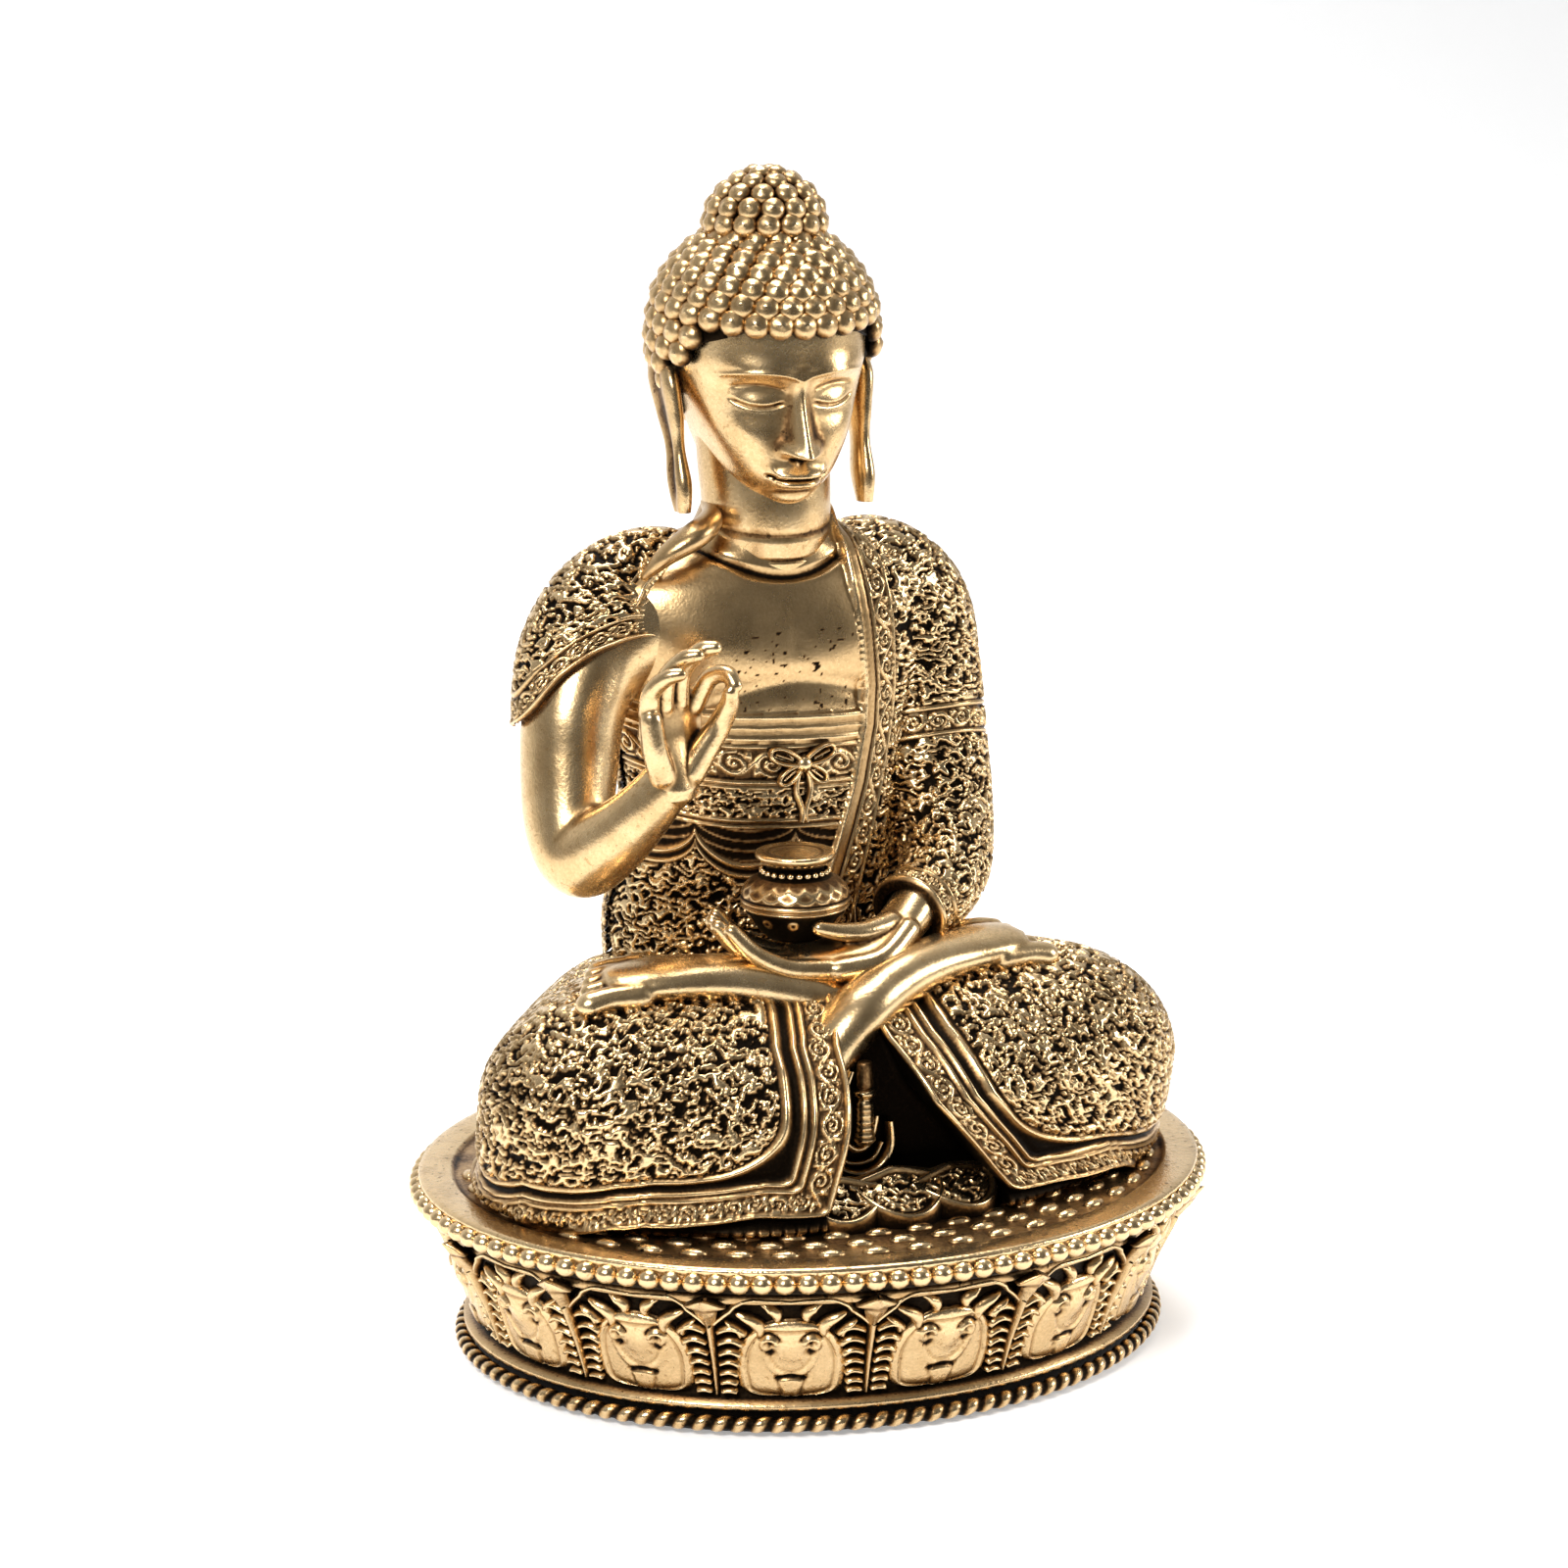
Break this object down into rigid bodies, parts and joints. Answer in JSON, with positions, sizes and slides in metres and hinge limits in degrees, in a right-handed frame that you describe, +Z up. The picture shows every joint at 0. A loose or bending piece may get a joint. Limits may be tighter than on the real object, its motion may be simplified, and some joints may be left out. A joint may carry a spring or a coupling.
{
  "type": "buddha statue",
  "caption": "Seated meditating figure on an oval lotus throne, right hand raised and left hand holding a small jar, in antique gold cast metal.",
  "frame": {"origin": "centre of the underside of the felt pad, on the surface the statue stands on", "axes": "+Z up; the figure faces -Y; +X is towards the figure's left hand"},
  "size_m": [0.1003, 0.0884, 0.1421],
  "materials": {
    "skin_gold": "polished antique gold with dark patina in the creases",
    "robe_gold": "antique gold over black-brown patina, cast floral relief",
    "hair_gold": "antique gold curls over black-brown patina",
    "throne_gold": "antique gold relief over black-brown patina",
    "seat_gold": "satin antique gold, brown in the pod",
    "steel": "bright steel",
    "felt": "black wool felt"
  },
  "bodies": {
    "root": {"felt_pad": "felt", "cover_plate": "steel", "cover_screws": "steel", "throne_drum": "throne_gold", "lower_rope_ring": "throne_gold", "lotus_panels": "throne_gold", "lotus_columns": "throne_gold", "seat_plate": "seat_gold", "upper_bead_ring": "throne_gold", "tie_rod": "steel", "tie_washer": "steel", "tie_nut": "steel", "seat_dowels": "steel", "lap": "robe_gold", "hem_fan": "robe_gold", "sash_tassel": "robe_gold", "right_foot": "skin_gold", "left_foot": "skin_gold", "torso": "skin_gold", "waist_sash": "robe_gold", "right_mantle": "robe_gold", "left_mantle": "robe_gold", "right_forearm": "skin_gold", "right_hand": "skin_gold", "right_wrist_pin": "steel", "left_hand": "skin_gold", "left_wrist_pin": "steel", "alms_jar": "robe_gold", "jar_pin": "steel", "neck_pin": "steel", "head": "skin_gold", "hair_cap": "hair_gold", "hair_knot": "hair_gold"}
  },
  "joints": []
}
